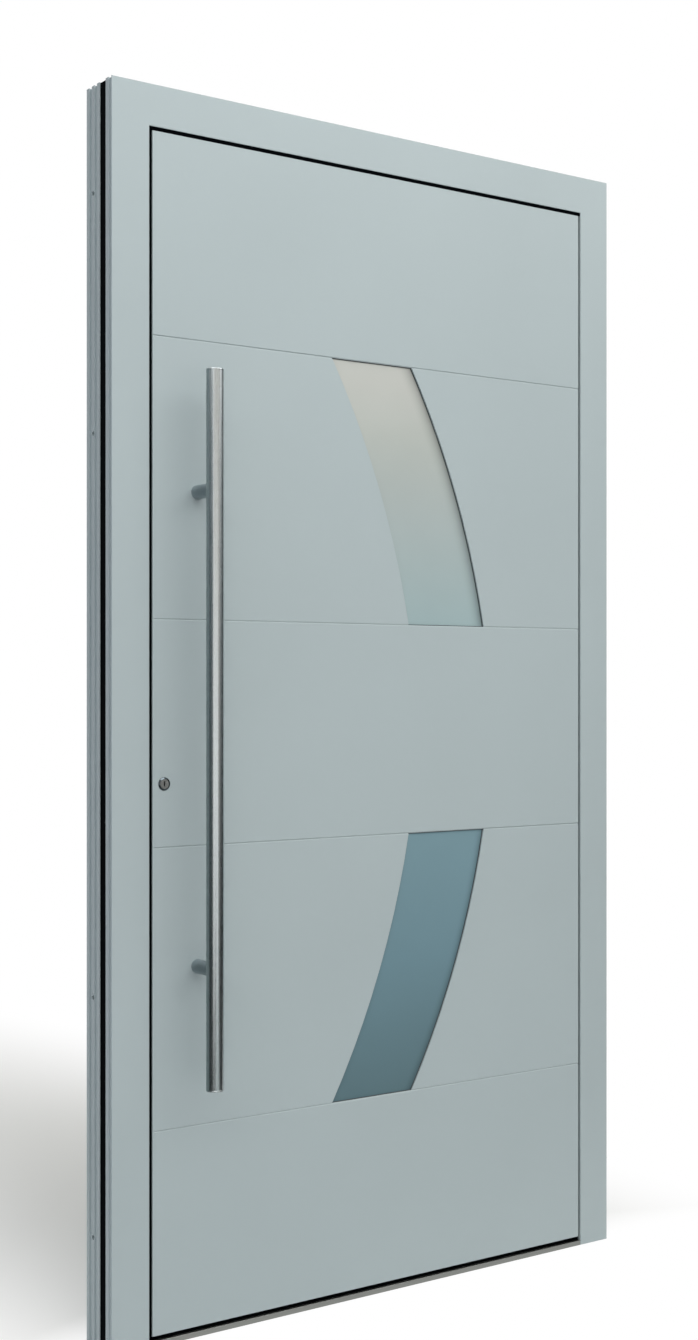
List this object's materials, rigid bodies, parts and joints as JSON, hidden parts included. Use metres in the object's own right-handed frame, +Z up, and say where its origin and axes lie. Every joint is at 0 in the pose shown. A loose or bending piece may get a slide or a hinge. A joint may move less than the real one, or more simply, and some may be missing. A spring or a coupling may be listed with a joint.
{
  "type": "glass entrance door with frame",
  "caption": "Flush coated aluminium entrance door in its frame, with curved glass lights, a long bar handle outside, a lever inside and a multi-point lock; swings inwards.",
  "frame": {"origin": "middle of the threshold's underside, at mid width and mid depth of the frame", "axes": "+Z up, +X to the right seen from outside, +Y inwards through the wall"},
  "size_m": [1.1, 0.2275, 2.1],
  "materials": {
    "coat": "pale blue-grey powder coat, fine texture",
    "break_plastic": "black polyamide",
    "seal_rubber": "black rubber",
    "mill_aluminium": "mill finish",
    "threshold_metal": "dark anodised",
    "stainless": "satin stainless",
    "hinge_metal": "coated to match the frame",
    "zinc_steel": "zinc-plated steel",
    "nickel": "satin nickel",
    "glass": "tinted glass",
    "foam": "rigid insulating foam"
  },
  "bodies": {
    "frame": {"left_jamb_outer": "coat", "left_jamb_break": "break_plastic", "left_jamb_inner": "coat", "right_jamb_outer": "coat", "right_jamb_break": "break_plastic", "right_jamb_inner": "coat", "head_outer": "coat", "head_break": "break_plastic", "head_inner": "coat", "corner_cleats": "mill_aluminium", "threshold_cover": "threshold_metal", "threshold_base": "break_plastic", "stop_gasket": "seal_rubber", "weather_seal": "seal_rubber", "fixing_caps": "break_plastic", "main_strike_plate": "stainless", "pin_strike_plates": "stainless", "strike_body": "zinc_steel", "frame_screws": "zinc_steel", "hinge_pins": "zinc_steel", "upper_hinge_frame_half": "hinge_metal", "middle_hinge_frame_half": "hinge_metal", "lower_hinge_frame_half": "hinge_metal"},
    "leaf": {"outer_skin": "coat", "inner_skin": "coat", "foam_core": "foam", "lock_stile": "coat", "hinge_stile": "coat", "top_rail": "coat", "bottom_rail": "coat", "leaf_bottom_seal": "seal_rubber", "leaf_screws": "zinc_steel", "upper_hinge_leaf_half": "hinge_metal", "middle_hinge_leaf_half": "hinge_metal", "lower_hinge_leaf_half": "hinge_metal", "upper_glass_outer_pane": "glass", "upper_glass_inner_pane": "glass", "upper_glass_spacer": "mill_aluminium", "upper_glass_seal": "seal_rubber", "lower_glass_outer_pane": "glass", "lower_glass_inner_pane": "glass", "lower_glass_spacer": "mill_aluminium", "lower_glass_seal": "seal_rubber", "handle_bar": "stainless", "bar_end_caps": "stainless", "upper_standoff": "stainless", "lower_standoff": "stainless", "handle_studs": "stainless", "lock_faceplate": "stainless", "lock_case": "zinc_steel", "pin_lock_cases": "zinc_steel", "cylinder_housing": "nickel", "inside_plate": "stainless"},
    "keeper": {"strike_keeper": "zinc_steel"},
    "latch": {"latch_bolt": "zinc_steel"},
    "bolt": {"deadbolt": "zinc_steel"},
    "upper_pin": {"upper_locking_pin": "zinc_steel"},
    "lower_pin": {"lower_locking_pin": "zinc_steel"},
    "plug": {"cylinder_plug": "nickel"},
    "lever": {"lever": "stainless"}
  },
  "joints": [
    {"name": "leaf_swing", "type": "hinge", "parent": "frame", "child": "leaf", "pos_m": [0.495, 0.057, 1.0205], "axis": [0, 0, -1], "range_deg": [0, 100]},
    {"name": "keeper_swing", "type": "hinge", "parent": "frame", "child": "keeper", "pos_m": [-0.51, 0.0325, 1.056], "axis": [0, 0, -1], "range_deg": [0, 90]},
    {"name": "lever_turn", "type": "hinge", "parent": "leaf", "child": "lever", "pos_m": [-0.452, 0.1, 1.028], "axis": [0, 1, 0], "range_deg": [0, 40], "stiffness_Nm_per_rad": 1.5, "springref_deg": -11.46},
    {"name": "latch_slide", "type": "slide", "parent": "leaf", "child": "latch", "axis": [1, 0, 0], "range_m": [0, 0.012]},
    {"name": "cylinder_turn", "type": "hinge", "parent": "leaf", "child": "plug", "pos_m": [-0.452, 0, 0.936], "axis": [0, -1, 0], "range_deg": [0, 360]},
    {"name": "bolt_slide", "type": "slide", "parent": "leaf", "child": "bolt", "axis": [-1, 0, 0], "range_m": [0, 0.02]},
    {"name": "upper_pin_slide", "type": "slide", "parent": "leaf", "child": "upper_pin", "axis": [-1, 0, 0], "range_m": [0, 0.02]},
    {"name": "lower_pin_slide", "type": "slide", "parent": "leaf", "child": "lower_pin", "axis": [-1, 0, 0], "range_m": [0, 0.02]}
  ],
  "couplings": [
    {"joint": "latch_slide", "follows": "lever_turn", "m_per_rad": 0.017189},
    {"joint": "bolt_slide", "follows": "cylinder_turn", "m_per_rad": 0.0031831},
    {"joint": "upper_pin_slide", "follows": "cylinder_turn", "m_per_rad": 0.0031831},
    {"joint": "lower_pin_slide", "follows": "cylinder_turn", "m_per_rad": 0.0031831}
  ]
}
